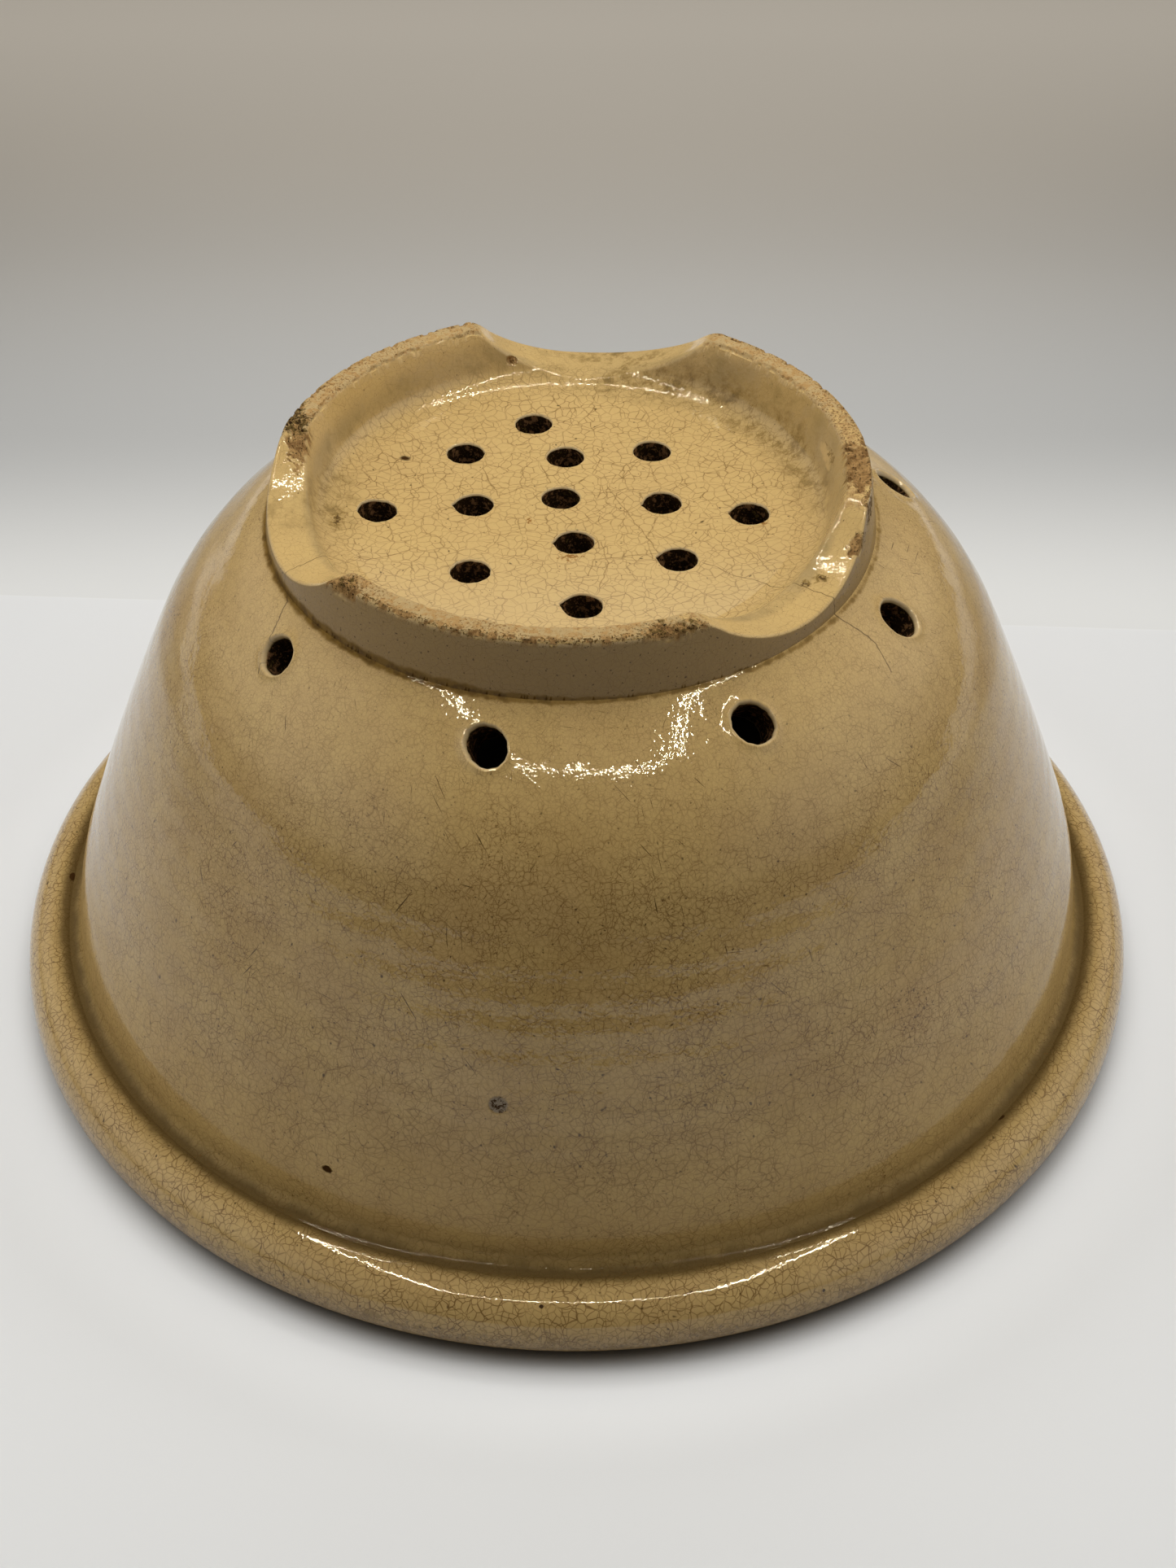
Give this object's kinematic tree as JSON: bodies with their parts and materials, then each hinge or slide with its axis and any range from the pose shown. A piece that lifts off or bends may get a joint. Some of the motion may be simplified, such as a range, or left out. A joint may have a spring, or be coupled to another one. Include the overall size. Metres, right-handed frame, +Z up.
{
  "type": "ceramic colander",
  "caption": "Round glazed earthenware colander with a rolled rim, punched drain holes and an arched foot ring, standing upside down on its rim.",
  "frame": {"origin": "on the bowl's axis, in the plane of the rim's rest face, under the middle of the object", "axes": "+Z up along the bowl's axis, from the rim through the foot; -Y towards the side between the left and right arches of the foot"},
  "size_m": [0.26, 0.26, 0.1306],
  "materials": {
    "glaze": "gloss yellow glaze, finely crazed, over buff earthenware"
  },
  "bodies": {
    "root": {"rim_roll": "glaze", "bowl_wall": "glaze", "bowl_floor": "glaze", "foot_ring": "glaze"}
  },
  "joints": []
}
